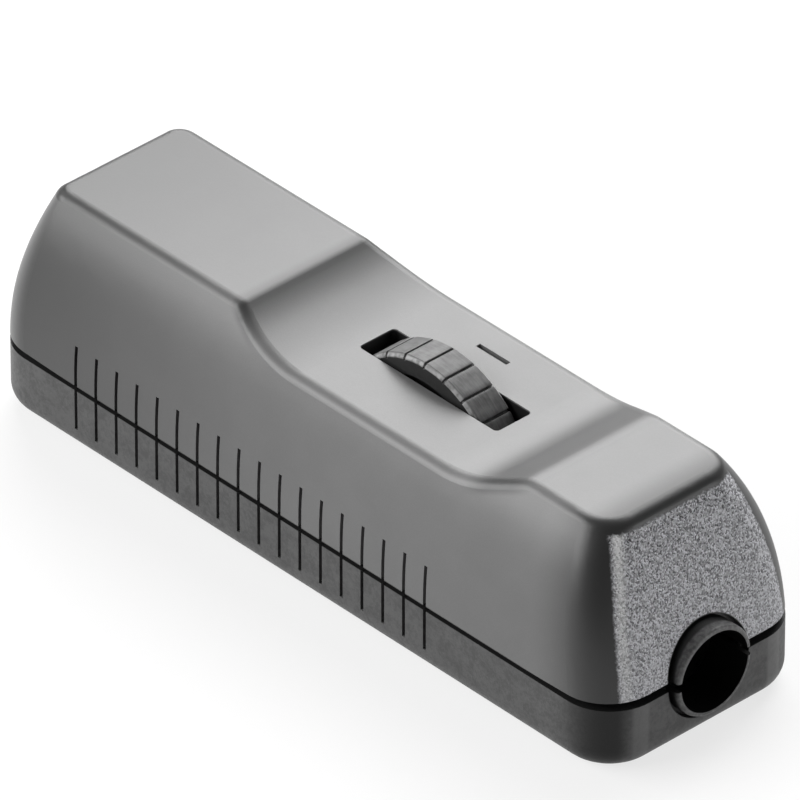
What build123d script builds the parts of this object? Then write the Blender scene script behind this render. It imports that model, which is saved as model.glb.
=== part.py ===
from build123d import *
import math
import os

# An inline cord dimmer, in millimetres. The housing lies along X and stands on Z = 0. A cord enters
# at each end, and the thumbwheel turns about Y in a slot of the saddle on top.

# Housing
body_length = 105.3
body_width = 31.6
body_height = 29.5
parting_height = 9.0
wall = 2.2
base_wall = 2.2
left_lean = 5.2  # how far the left end leans in at the top
right_lean = 6.2  # how far the right end leans in at the top
end_curve = 1.25  # power of an end's curve over its height
side_lean = 6.0  # how far each side leans in at the top
side_curve = 2.6  # power of a side's curve over its height
corner_radius_low = 6.5
left_corner_high = 2.4  # corner radius at the top of the left end
right_corner_high = 4.4  # corner radius at the top of the right end
inner_corner_least = 0.6
base_edge_radius = 2.9
top_edge_radius = 1.8
section_climbs = (0.0, 0.3, 0.6, 0.85, 1.1)  # shares of the height where a plan is drawn

# Parting line
parting_gap = 0.6
end_gap = 0.5  # how much wider the gap gets towards each end
end_gap_run = 14.0
tongue_wall = 0.9
tongue_height = 1.4
tongue_clearance = 0.12

# Saddle, along X from the middle of its slot
slot_x = 8.8
saddle_depth = 3.2
left_crease = 23.8
left_run = 6.1
right_crease = 24.4
right_run = 8.6
left_crease_radius = 1.5
right_crease_radius = 5.0
left_hollow_radius = 23.0
right_hollow_radius = 20.0
crease_width = 0.5  # the most that an edge along a crease runs in X

# Thumbwheel and its slot
wheel_offset = 0.9  # how far the wheel's axis is left of the slot's middle
wheel_width = 5.0
wheel_rise = 3.0  # how far the wheel stands out of the saddle
wheel_floor_gap = 0.7
facet_count = 24
facet_groove_width = 0.35
facet_groove_depth = 0.45
rim_bevel = 0.4
rim_wall = 2.6
hub_diameter = 10.0
web_recess = 1.0
slot_side_gap = 0.3
slot_end_gap = 3.2
slot_corner_radius = 0.6
index_length = 5.1
index_width = 0.7
index_depth = 0.6
index_y = 7.5

# Vent slits
vent_count = 18
vent_pitch = 3.5
vent_width = 0.5
vent_reach = 5.8  # above and below the parting plane
vent_centre_x = -7.4

# Cord entries
cord_bore_radius = 5.2
collar_wall = 0.6
collar_stand = 1.0  # how far a collar stands out of the end at the parting plane
collar_edge_radius = 0.4
collar_length = 5.0  # inwards from the end
collar_groove_width = 0.5
collar_groove_depth = 1.0

# Housing screws
screw_from_end = 8.0
screw_from_side = 5.8
screw_diameter = 2.8
screw_length = 14.0
screw_head_diameter = 5.2
screw_head_height = 2.0
screw_head_sink = 0.7  # depth of the head below the base
screw_clearance = 0.2
thread_clearance = 0.05
boss_diameter = 6.0
boss_wall = 1.2
drive_width = 0.8
drive_depth = 1.0
drive_share = 0.6  # of the head's diameter

# Circuit board
board_thickness = 1.6
board_end_room = 18.5
board_side_room = 1.0
board_post_height = 3.8
post_diameter = 4.0
post_inset = 3.0
post_pin_diameter = 1.8
post_pin_stand = 0.5
pin_clearance = 0.1
wheel_cut_gap = 1.2

# Potentiometer
shaft_diameter = 6.0
shaft_flat = 2.0  # from the axis to the flat of the D
shaft_play = 0.05
hub_play = 0.02
shaft_stand = 0.6
shaft_depth = 4.0
control_diameter = 11.0
control_depth = 6.0
control_gap = 0.9

# Cord clamps
clamp_from_end = 14.5
clamp_length = 5.6
clamp_span = 20.0
clamp_height = 5.4
clamp_grip_radius = 3.6
clamp_screw_y = 7.2
clamp_screw_diameter = 2.6
clamp_screw_length = 10.0
clamp_head_diameter = 4.8
clamp_head_height = 1.8

# Screw terminals
terminal_length = 8.0
terminal_width = 8.0
terminal_height = 10.0
terminal_inset = 1.0
terminal_pitch = 3.8
wire_hole_diameter = 2.6
wire_hole_depth = 6.0
wire_hole_height = 3.0
terminal_screw_diameter = 2.6
terminal_screw_length = 4.0
terminal_well_depth = 5.0
terminal_well_clearance = 0.2

# Triac on its heat sink
triac_width = 10.0
triac_thickness = 4.4
triac_body_height = 9.0
triac_tab_height = 6.0
triac_tab_thickness = 1.3
triac_leg_height = 2.0
triac_leg_pitch = 2.54
triac_leg_width = 0.8
triac_from_crease = 4.4
sink_length = 14.0
sink_thickness = 1.5
sink_height = 16.5
sink_edge_room = 3.0
sink_screw_diameter = 3.0
sink_screw_head = 5.0
sink_screw_head_height = 2.0

# Choke
choke_diameter = 9.6
choke_bore = 4.8
choke_height = 5.0
wire_layer = 1.2
wire_gap = 0.05
winding_angle = 300.0
choke_edge_room = 0.4

# Capacitors
suppressor_length = 13.0
suppressor_thickness = 6.0
suppressor_height = 11.0
suppressor_from_axis = 6.3
suppressor_edge_room = 1.2
timer_length = 5.0
timer_thickness = 2.6
timer_height = 6.5
timer_from_axis = 14.5
capacitor_edge = 0.6

# Axial pieces
resistor_length = 5.6
resistor_diameter = 2.4
resistor_from_axis = 9.5
resistor_pitch = 3.2
resistor_edge_room = 2.0
resistor_count = 2
diac_length = 3.8
diac_diameter = 1.9
diac_from_axis = 19.0
lead_diameter = 0.6
lead_reach = 0.9

# Fuse
fuse_length = 20.0
fuse_diameter = 5.2
fuse_glass_diameter = 4.8
fuse_cap_length = 5.0
fuse_stand = 1.2
fuse_edge_room = 3.8
clip_length = 4.0
clip_thickness = 0.4
clip_gap = 0.02

# Sizes that follow from the ones above
half_length = body_length / 2
half_width = body_width / 2
rise = body_height - parting_height
upper_rim = parting_height + parting_gap / 2
lower_rim = parting_height - parting_gap / 2
saddle_z = body_height - saddle_depth
wheel_top = saddle_z + wheel_rise
wheel_bottom = base_wall + wheel_floor_gap
wheel_radius = (wheel_top - wheel_bottom) / 2
wheel_z = (wheel_top + wheel_bottom) / 2
wheel_x = slot_x - wheel_offset
slot_length = 2 * (math.sqrt(wheel_radius**2 - (saddle_z - wheel_z) ** 2) + slot_end_gap)
slot_width = wheel_width + 2 * slot_side_gap
collar_radius = cord_bore_radius + collar_wall
screw_x = half_length - screw_from_end
screw_y = half_width - screw_from_side
screw_seat = screw_head_sink + screw_head_height
recess_diameter = screw_head_diameter + 2 * screw_clearance
board_bottom = base_wall + board_post_height
board_top = board_bottom + board_thickness
board_length = body_length - 2 * board_end_room
board_width = body_width - 2 * (wall + board_side_room)
post_x = board_length / 2 - post_inset
post_y = board_width / 2 - post_inset
clamp_x = half_length - clamp_from_end
clamp_top = parting_height + clamp_height
terminal_x = board_length / 2 - terminal_inset - terminal_length / 2
wheel_cut_length = 2 * (math.sqrt(wheel_radius**2 - (wheel_z - board_top) ** 2) + wheel_cut_gap)
wheel_cut_width = wheel_width + 2 * wheel_cut_gap
control_y = wheel_width / 2 + control_gap
triac_x = slot_x - left_crease - triac_from_crease
sink_front = board_width / 2 - sink_edge_room - sink_thickness
sink_screw_z = board_top + triac_leg_height + triac_body_height + triac_tab_height / 2
winding_diameter = choke_diameter + 2 * wire_layer
choke_x = (wheel_x - wheel_cut_length / 2 - terminal_x + terminal_length / 2) / 2
choke_y = -(board_width / 2 - choke_edge_room - winding_diameter / 2)
fuse_y = -(board_width / 2 - fuse_edge_room)
fuse_z = board_top + fuse_stand + clip_thickness + fuse_diameter / 2
wheel_plane = Plane((wheel_x, 0, wheel_z), x_dir=(1, 0, 0), z_dir=(0, 1, 0))

ENDS = (-1, 1)
SIDES = (-1, 1)
CORNERS = [(end, side) for end in ENDS for side in SIDES]
ON_BASE = (Align.CENTER, Align.CENTER, Align.MIN)


def column(x, y, bottom, top, diameter):
    """An upright round bar."""
    return Pos(x, y, bottom) * Cylinder(diameter / 2, top - bottom, align=ON_BASE)


def block(x, y, bottom, length, width, height):
    """A box that stands at a height, centred on x and y."""
    return Pos(x, y, bottom) * Box(length, width, height, align=ON_BASE)


def rod_x(start, end, y, z, diameter):
    """A round bar along X."""
    return Pos((start + end) / 2, y, z) * Rot(0, 90, 0) * Cylinder(diameter / 2, abs(end - start))


def rod_y(start, end, x, z, diameter):
    """A round bar along Y."""
    return Pos(x, (start + end) / 2, z) * Rot(90, 0, 0) * Cylinder(diameter / 2, abs(end - start))


def corner_radius(top_radius, climb, inset):
    """A corner's radius at a share of the height, drawn in by an inset."""
    radius = corner_radius_low + (top_radius - corner_radius_low) * climb - inset
    return max(radius, inner_corner_least)


def plan_section(z, inset):
    """The housing's rounded plan at a height, drawn in from its outer face by an inset."""
    climb = (z - parting_height) / rise
    left = left_lean * climb**end_curve + inset - half_length
    right = half_length - right_lean * climb**end_curve - inset
    width = body_width - 2 * (side_lean * climb**side_curve + inset)
    plan = Pos((left + right) / 2, 0) * Rectangle(right - left, width)
    plan = fillet(plan.vertices().group_by(Axis.X)[0], corner_radius(left_corner_high, climb, inset))
    plan = fillet(plan.vertices().group_by(Axis.X)[-1], corner_radius(right_corner_high, climb, inset))
    return Plane.XY.offset(z) * plan


def top_profile(depth, bottom):
    """Everything under the top line with its saddle, a depth below the outer surface."""
    top = body_height - depth
    floor = saddle_z - depth
    left_shift = depth * math.tan(math.atan2(saddle_depth, left_run) / 2)
    right_shift = depth * math.tan(math.atan2(saddle_depth, right_run) / 2)
    left = slot_x - left_crease - left_shift
    right = slot_x + right_crease + right_shift
    start = (-body_length, top)
    finish = (body_length, top)
    line = FilletPolyline(
        start,
        (left, top),
        (left + left_run, floor),
        (right - right_run, floor),
        (right, top),
        finish,
        radius=[left_crease_radius, left_hollow_radius, right_hollow_radius, right_crease_radius],
    )
    under = Polyline(finish, (body_length, bottom), (-body_length, bottom), start)
    return extrude(Plane.XZ * make_face([line, under]), amount=body_width, both=True)


def upper_form(inset, bottom):
    """The upper half as a solid: plans lofted over the height, cut by the top line."""
    sections = [plan_section(parting_height + rise * climb, inset) for climb in section_climbs]
    return loft(sections) & top_profile(inset, bottom)


def top_edges(form):
    """The loop of edges between the leaning walls and the top line."""
    loop = []
    for edge in form.edges():
        box = edge.bounding_box()
        across = box.size.X < crease_width and abs(edge.center().X) < screw_x - corner_radius_low
        if box.min.Z > saddle_z - saddle_depth and not across:
            loop.append(edge)
    return loop


def ring_wall(outer_inset, inner_inset, bottom, top):
    """A wall that follows the housing's plan at the parting plane, between two insets."""
    outer = extrude(plan_section(parting_height, outer_inset), amount=top - bottom)
    inner = extrude(plan_section(parting_height, inner_inset), amount=top - bottom)
    return Pos(0, 0, bottom - parting_height) * (outer - inner)


def cord_rods(radius):
    """Round bars on the cord's axis, as long as the collars."""
    outer = half_length + collar_stand
    inner = half_length - collar_length
    return [rod_x(end * outer, end * inner, 0, parting_height, 2 * radius) for end in ENDS]


def collars():
    """The cord collars before they are bored, with their outer edges rounded."""
    rods = cord_rods(collar_radius)
    loops = [rod.edges().filter_by(GeomType.CIRCLE) for rod in rods]
    rims = [max(pair, key=lambda edge: abs(edge.center().X)) for pair in loops]
    return [fillet(rim, collar_edge_radius) for rim in rims]


def collar_grooves(core):
    """The ring-shaped grooves around the cord collars, as deep as a core leaves them."""
    outer = cord_rods(collar_radius + collar_groove_width)
    inner = cord_rods(collar_radius)
    return [big - small - core for big, small in zip(outer, inner)]


def vent_slits():
    """The narrow slits through both long walls, across the parting plane."""
    depth = 2 * wall
    y = half_width - wall / 2
    first = vent_centre_x - vent_pitch * (vent_count - 1) / 2
    return [
        Pos(first + vent_pitch * index, side * y, parting_height) * Box(vent_width, depth, 2 * vent_reach)
        for index in range(vent_count)
        for side in SIDES
    ]


def screw(x, y, seat, head_diameter, head_height, diameter, length, up):
    """A screw with a cross drive, its head on the side away from its point."""
    head = column(0, 0, -head_height, 0, head_diameter)
    body = head + column(0, 0, 0, length, diameter)
    drive = Box(drive_share * head_diameter, drive_width, 2 * drive_depth)
    for angle in (0, 90):
        body -= Pos(0, 0, -head_height) * Rot(0, 0, angle) * drive
    turn = 0 if up else 180
    return Pos(x, y, seat) * Rot(turn, 0, 0) * body


def upper_shell():
    """The upper half: hollow, with screw bosses, half collars, the wheel's slot and the index mark."""
    outer = upper_form(0.0, upper_rim)
    outer = fillet(top_edges(outer), top_edge_radius)
    shell = outer - upper_form(wall, parting_height)
    lip = wall - tongue_wall - tongue_clearance
    rebate_top = parting_height + tongue_height + tongue_clearance
    shell -= ring_wall(lip, wall + tongue_wall, lower_rim, rebate_top)
    shell -= collar_grooves(upper_form(collar_groove_depth, parting_height))
    end_rim = upper_rim + end_gap
    above = block(0, 0, end_rim, 2 * body_length, body_width, body_height)
    shell += [collar & above for collar in collars()]
    envelope = upper_form(wall / 2, parting_height)
    for end, side in CORNERS:
        boss = column(end * screw_x, side * screw_y, parting_height, body_height, boss_diameter)
        shell += boss & envelope
    pilot_top = screw_seat + screw_length + drive_depth
    pilot = screw_diameter + 2 * thread_clearance
    shell -= [column(end * screw_x, side * screw_y, 0, pilot_top, pilot) for end, side in CORNERS]
    shell -= cord_rods(cord_bore_radius)
    outer_wall = ring_wall(-tongue_clearance, wall, lower_rim, end_rim)
    gap_start = half_length - end_gap_run
    gap_end = half_length + collar_stand
    taper = Polygon((gap_start, upper_rim), (gap_end, upper_rim), (gap_end, end_rim), align=None)
    wedge = extrude(Plane.XZ * taper, amount=body_width, both=True)
    shell -= [outer_wall & wedge, outer_wall & mirror(wedge, Plane.YZ)]
    shell -= vent_slits()
    slot = Pos(slot_x, 0, saddle_z) * RectangleRounded(slot_length, slot_width, slot_corner_radius)
    shell -= extrude(slot, amount=2 * wall, both=True)
    shell -= block(slot_x, index_y, saddle_z - index_depth, index_length, index_width, index_depth)
    return shell


def lower_shell():
    """The lower half: a tray with a tongue, bosses, board posts, cord beds and half collars."""
    tray = extrude(Plane.XY * RectangleRounded(body_length, body_width, corner_radius_low), amount=lower_rim)
    tray = fillet(tray.faces().sort_by(Axis.Z)[0].edges(), base_edge_radius)
    outline = Plane.XY.offset(base_wall) * RectangleRounded(
        body_length - 2 * wall, body_width - 2 * wall, corner_radius_low - wall
    )
    shell = tray - extrude(outline, amount=body_height)
    tongue = ring_wall(wall - tongue_wall, wall, base_wall, parting_height + tongue_height)
    tongue -= cord_rods(collar_radius + tongue_clearance)
    shell += tongue
    shell -= collar_grooves(block(0, 0, 0, body_length - 2 * collar_groove_depth, body_width, body_height))
    below = block(0, 0, 0, 2 * body_length, body_width, lower_rim)
    shell += [collar & below for collar in collars()]
    for end, side in CORNERS:
        x = end * screw_x
        y = side * screw_y
        shell += column(x, y, base_wall / 2, parting_height, recess_diameter + 2 * boss_wall) & tray
        shell += column(end * post_x, side * post_y, base_wall / 2, board_bottom, post_diameter)
        pin_top = board_top + post_pin_stand
        shell += column(end * post_x, side * post_y, board_bottom, pin_top, post_pin_diameter)
    for end in ENDS:
        bed = block(end * clamp_x, 0, base_wall / 2, clamp_length, clamp_span, parting_height - base_wall / 2)
        shell += bed - rod_x(-body_length, body_length, 0, parting_height, 2 * clamp_grip_radius)
    for end, side in CORNERS:
        x = end * screw_x
        y = side * screw_y
        shell -= column(x, y, 0, screw_seat, recess_diameter)
        shell -= column(x, y, 0, parting_height, screw_diameter + 2 * screw_clearance)
        pilot = clamp_screw_diameter + 2 * thread_clearance
        bed_hole = clamp_top - clamp_screw_length - thread_clearance
        shell -= column(end * clamp_x, side * clamp_screw_y, bed_hole, parting_height, pilot)
    shell -= cord_rods(cord_bore_radius)
    shell -= vent_slits()
    return shell


def housing_screws():
    """The four screws that hold the halves together, from below."""
    return [
        screw(
            end * screw_x,
            side * screw_y,
            screw_seat,
            screw_head_diameter,
            screw_head_height,
            screw_diameter,
            screw_length,
            True,
        )
        for end, side in CORNERS
    ]


def d_outline(radius, flat):
    """A circle with a flat on its upper side."""
    return Circle(radius) - Pos(0, flat + radius) * Rectangle(2 * radius, 2 * radius)


def thumbwheel():
    """A wheel with flat facets, a groove between each two, and a thinner web around its hub."""
    rim = RegularPolygon(wheel_radius, facet_count, rotation=90)
    wheel = extrude(rim, amount=wheel_width / 2, both=True)
    wheel = chamfer(wheel.faces().filter_by(Axis.Z).edges(), rim_bevel)
    web_outer = wheel_radius - rim_wall
    recess = Circle(web_outer) - Circle(hub_diameter / 2)
    for face in (-1, 1):
        wheel -= extrude(Plane.XY.offset(face * wheel_width / 2) * recess, amount=-face * web_recess)
    groove = Box(2 * facet_groove_depth, facet_groove_width, wheel_width)
    wheel -= [spot * groove for spot in PolarLocations(wheel_radius, facet_count, start_angle=90)]
    bore = d_outline(shaft_diameter / 2 + hub_play, shaft_flat + hub_play)
    wheel -= extrude(bore, amount=wheel_width, both=True)
    return wheel_plane.location * wheel


def potentiometer_shaft():
    """The control's shaft: round in its bearing, with a flat where the wheel sits."""
    near = -wheel_width / 2 - shaft_stand
    bearing = control_y
    key = Plane.XY.offset(near) * d_outline(shaft_diameter / 2, shaft_flat)
    shaft = extrude(key, amount=bearing - near)
    shaft += extrude(Plane.XY.offset(bearing) * Circle(shaft_diameter / 2), amount=shaft_depth)
    return wheel_plane.location * shaft


def potentiometer_body():
    """The control's case: a round back on a foot that stands on the board."""
    case = rod_y(control_y, control_y + control_depth, wheel_x, wheel_z, control_diameter)
    foot_y = control_y + control_depth / 2
    case += block(wheel_x, foot_y, board_top, control_diameter, control_depth, wheel_z - board_top)
    bore = shaft_diameter + 2 * shaft_play
    return case - rod_y(0, control_y + shaft_depth + shaft_play, wheel_x, wheel_z, bore)


def circuit_board():
    """The board, with holes for its posts' pins and a cut-out for the wheel."""
    board = block(0, 0, board_bottom, board_length, board_width, board_thickness)
    hole = post_pin_diameter + 2 * pin_clearance
    board -= [column(end * post_x, side * post_y, 0, board_top, hole) for end, side in CORNERS]
    return board - block(wheel_x, 0, board_bottom, wheel_cut_length, wheel_cut_width, board_thickness)


def triac():
    """A flat power device: moulded body, metal tab with a hole, three legs down to the board."""
    body_bottom = board_top + triac_leg_height
    tab_bottom = body_bottom + triac_body_height
    body_y = sink_front - triac_thickness / 2
    tab_y = sink_front - triac_tab_thickness / 2
    device = block(triac_x, body_y, body_bottom, triac_width, triac_thickness, triac_body_height)
    device += block(triac_x, tab_y, tab_bottom, triac_width, triac_tab_thickness, triac_tab_height)
    for step in (-1, 0, 1):
        x = triac_x + step * triac_leg_pitch
        device += block(x, body_y, board_top, triac_leg_width, triac_leg_width, triac_leg_height)
    hole = sink_screw_diameter + 2 * screw_clearance
    return device - rod_y(0, sink_front, triac_x, sink_screw_z, hole)


def heat_sink():
    """A plate that stands on the board beside the vent slits."""
    y = sink_front + sink_thickness / 2
    plate = block(triac_x, y, board_top, sink_length, sink_thickness, sink_height)
    hole = sink_screw_diameter + 2 * thread_clearance
    return plate - rod_y(sink_front, sink_front + sink_thickness, triac_x, sink_screw_z, hole)


def heat_sink_screw():
    """The screw through the triac's tab into the plate."""
    length = triac_tab_thickness + sink_thickness
    bolt = screw(0, 0, 0, sink_screw_head, sink_screw_head_height, sink_screw_diameter, length, True)
    return Pos(triac_x, sink_front - triac_tab_thickness, sink_screw_z) * Rot(-90, 0, 0) * bolt


def choke_core():
    """The ring core, lying flat above the board by one layer of wire."""
    ring = Circle(choke_diameter / 2) - Circle(choke_bore / 2)
    bottom = board_top + wire_layer
    return Pos(choke_x, choke_y, bottom) * extrude(ring, amount=choke_height)


def choke_winding():
    """The wire around the core, as one layer that leaves a part of the ring bare."""
    width = (choke_diameter - choke_bore) / 2
    middle = (choke_diameter + choke_bore) / 4
    around = Rectangle(width + 2 * wire_layer, choke_height + 2 * wire_layer)
    around -= Rectangle(width + 2 * wire_gap, choke_height + 2 * wire_gap)
    section = Plane.XZ * Pos(middle, choke_height / 2) * around
    bottom = board_top + wire_layer
    return Pos(choke_x, choke_y, bottom) * revolve(section, Axis.Z, revolution_arc=winding_angle)


def box_capacitor(x, y, length, width, height):
    """A moulded box capacitor with rounded upright edges."""
    outline = Plane.XY.offset(board_top) * Pos(x, y) * RectangleRounded(length, width, capacitor_edge)
    return extrude(outline, amount=height)


def suppression_capacitor():
    """The box capacitor across the supply, beside the potentiometer."""
    x = wheel_x + suppressor_from_axis + suppressor_length / 2
    y = board_width / 2 - suppressor_edge_room - suppressor_thickness / 2
    return box_capacitor(x, y, suppressor_length, suppressor_thickness, suppressor_height)


def timing_capacitor():
    """The small capacitor that sets the firing time."""
    return box_capacitor(wheel_x + timer_from_axis, fuse_y, timer_thickness, timer_length, timer_height)


def axial_piece(x, y, length, diameter):
    """A small round body along Y on the board, with a lead bent down at each end."""
    z = board_top + diameter / 2
    body = rod_y(y - length / 2, y + length / 2, x, z, diameter)
    body += rod_y(y - length / 2 - lead_reach, y + length / 2 + lead_reach, x, z, lead_diameter)
    for side in SIDES:
        body += column(x, y + side * (length / 2 + lead_reach), board_top, z, lead_diameter)
    return body


def resistors():
    """Two axial resistors between the triac and the potentiometer."""
    x = wheel_x - resistor_from_axis
    y = board_width / 2 - resistor_edge_room - resistor_length / 2
    return [
        axial_piece(x - step * resistor_pitch, y, resistor_length, resistor_diameter)
        for step in range(resistor_count)
    ]


def diac():
    """The trigger diode beside the timing capacitor."""
    return axial_piece(wheel_x + diac_from_axis, fuse_y, diac_length, diac_diameter)


def fuse_tube():
    """The fuse's glass, between its caps' closed ends."""
    half = fuse_length / 2 - clip_thickness
    return rod_x(wheel_x - half, wheel_x + half, fuse_y, fuse_z, fuse_glass_diameter)


def fuse_caps():
    """The two metal caps over the glass's ends."""
    caps = []
    for end in ENDS:
        tip = wheel_x + end * fuse_length / 2
        mouth = tip - end * fuse_cap_length
        glass_end = tip - end * clip_thickness
        cap = rod_x(tip, mouth, fuse_y, fuse_z, fuse_diameter)
        caps.append(cap - rod_x(glass_end, mouth, fuse_y, fuse_z, fuse_glass_diameter))
    return caps


def fuse_clips():
    """Two sprung clips that hold the caps: a foot on the board under an open ring."""
    clips = []
    inner = fuse_diameter / 2 + clip_gap
    outer = inner + clip_thickness
    for end in ENDS:
        x = wheel_x + end * (fuse_length - fuse_cap_length) / 2
        ring = rod_x(x - clip_length / 2, x + clip_length / 2, fuse_y, fuse_z, 2 * outer)
        foot_height = fuse_z - board_top
        clip = ring + block(x, fuse_y, board_top, clip_length, fuse_diameter / 2, foot_height)
        clip -= rod_x(x - clip_length, x + clip_length, fuse_y, fuse_z, 2 * inner)
        mouth_height = inner / 2
        clip -= block(x, fuse_y, fuse_z + mouth_height, clip_length, 2 * outer, outer)
        clips.append(clip)
    return clips


def terminal(end):
    """A two-way terminal block, with wire holes facing the cord and screw wells on top."""
    body = block(end * terminal_x, 0, board_top, terminal_length, terminal_width, terminal_height)
    face = end * (terminal_x + terminal_length / 2)
    top = board_top + terminal_height
    well = terminal_screw_diameter + 2 * terminal_well_clearance
    for side in SIDES:
        y = side * terminal_pitch / 2
        hole_end = face - end * wire_hole_depth
        body -= rod_x(face, hole_end, y, board_top + wire_hole_height, wire_hole_diameter)
        body -= column(end * terminal_x, y, top - terminal_well_depth, top, well)
    return body


def terminal_screws():
    """The four slotted screws in the terminals' wells."""
    screws = []
    for end, side in CORNERS:
        x = end * terminal_x
        y = side * terminal_pitch / 2
        bottom = board_top + terminal_height - terminal_well_depth
        top = bottom + terminal_screw_length
        slot = block(x, y, top - drive_depth, terminal_screw_diameter, drive_width / 2, drive_depth)
        screws.append(column(x, y, bottom, top, terminal_screw_diameter) - slot)
    return screws


def cord_clamp(end):
    """The bar over a cord bed, hollowed to grip the cord."""
    bar = block(end * clamp_x, 0, parting_height, clamp_length, clamp_span, clamp_height)
    bar -= rod_x(-body_length, body_length, 0, parting_height, 2 * clamp_grip_radius)
    hole = clamp_screw_diameter + 2 * screw_clearance
    bar -= [column(end * clamp_x, side * clamp_screw_y, 0, clamp_top, hole) for side in SIDES]
    return bar


def cord_clamp_screws():
    """The four screws that pull the bars down onto their beds."""
    return [
        screw(
            end * clamp_x,
            side * clamp_screw_y,
            clamp_top,
            clamp_head_diameter,
            clamp_head_height,
            clamp_screw_diameter,
            clamp_screw_length,
            False,
        )
        for end, side in CORNERS
    ]


nodes = {
    "upper_shell": upper_shell(),
    "lower_shell": lower_shell(),
    "housing_screws": housing_screws(),
    "thumbwheel": thumbwheel(),
    "potentiometer_shaft": potentiometer_shaft(),
    "potentiometer_body": potentiometer_body(),
    "circuit_board": circuit_board(),
    "triac": triac(),
    "heat_sink": heat_sink(),
    "heat_sink_screw": heat_sink_screw(),
    "choke_core": choke_core(),
    "choke_winding": choke_winding(),
    "suppression_capacitor": suppression_capacitor(),
    "timing_capacitor": timing_capacitor(),
    "diac": diac(),
    "resistors": resistors(),
    "fuse_tube": fuse_tube(),
    "fuse_caps": fuse_caps(),
    "fuse_clips": fuse_clips(),
    "input_terminal": terminal(-1),
    "output_terminal": terminal(1),
    "terminal_screws": terminal_screws(),
    "input_cord_clamp": cord_clamp(-1),
    "output_cord_clamp": cord_clamp(1),
    "cord_clamp_screws": cord_clamp_screws(),
}

os.makedirs("parts", exist_ok=True)
for name, shape in nodes.items():
    if isinstance(shape, list):
        shape = Compound(children=shape)
    export_step(shape, f"parts/{name}.step")
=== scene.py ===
# %% [markdown]
# # An inline cord dimmer, dressed for a studio picture
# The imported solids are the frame: each one already sits where it belongs, in metres. This lesson adds
# what a camera sees and a solid model leaves out: satin and spark-eroded plastic, a wheel worn by
# thumbs, a choke wound turn by turn, and light that shows them. Nothing here changes a size.

# %% The frame
import math

import bpy
import numpy as np
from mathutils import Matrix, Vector


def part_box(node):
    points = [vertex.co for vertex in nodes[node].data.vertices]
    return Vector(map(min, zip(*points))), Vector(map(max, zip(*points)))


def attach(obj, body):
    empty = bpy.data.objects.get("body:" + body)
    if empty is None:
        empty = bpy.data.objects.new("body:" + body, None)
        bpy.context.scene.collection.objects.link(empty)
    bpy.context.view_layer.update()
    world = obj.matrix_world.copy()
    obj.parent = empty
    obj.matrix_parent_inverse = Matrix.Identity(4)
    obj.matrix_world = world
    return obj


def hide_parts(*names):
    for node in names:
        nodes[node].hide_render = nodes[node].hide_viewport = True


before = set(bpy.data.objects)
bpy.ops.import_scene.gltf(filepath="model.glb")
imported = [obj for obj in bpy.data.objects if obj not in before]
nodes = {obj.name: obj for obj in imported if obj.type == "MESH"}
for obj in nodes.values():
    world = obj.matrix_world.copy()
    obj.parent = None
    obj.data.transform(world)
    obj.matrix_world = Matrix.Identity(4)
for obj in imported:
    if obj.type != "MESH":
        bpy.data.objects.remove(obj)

scene = bpy.context.scene
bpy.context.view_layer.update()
MM = 0.001

# %% [markdown]
# ## Camera
# A product picture is taken from far away through a long lens, so that parallel edges stay nearly
# parallel. The camera could be placed by eye, but a direction, a distance and a scale say the same in
# a few numbers: the lens follows from how many pixels one metre should cover.

# %% Camera
AZIMUTH = math.radians(47.204)
ELEVATION = math.radians(34.987)
DISTANCE = 1.7904
PIXELS_PER_METRE = 8694.3
IMAGE_WIDTH = 800
TARGET = Vector((-0.98, 2.02, 17.48)) * MM


def direction(azimuth, elevation):
    """A unit vector: azimuth turns from the front, -Y, towards +X, and elevation lifts it from the floor."""
    across = math.cos(elevation)
    return Vector((math.sin(azimuth) * across, -math.cos(azimuth) * across, math.sin(elevation)))


to_camera = direction(AZIMUTH, ELEVATION)
camera = bpy.data.objects.new("camera", bpy.data.cameras.new("camera"))
scene.collection.objects.link(camera)
camera.location = TARGET + to_camera * DISTANCE
camera.rotation_euler = to_camera.to_track_quat("Z", "Y").to_euler()
camera.data.sensor_width = 36.0
camera.data.lens = PIXELS_PER_METRE * DISTANCE * camera.data.sensor_width / IMAGE_WIDTH
camera.data.clip_end = 20.0
scene.camera = camera
print("camera: lens", round(camera.data.lens), "mm at", DISTANCE, "m")

# %% [markdown]
# ## Writing shader maths as Python
# A material is a graph of nodes. Placing each node by hand hides the idea behind the wiring, so one
# small class wraps a socket: adding or multiplying two wrapped sockets adds the Math node for it. Smooth
# steps and bands are made of the same stuff, and every mask on this object is made of them.

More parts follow.
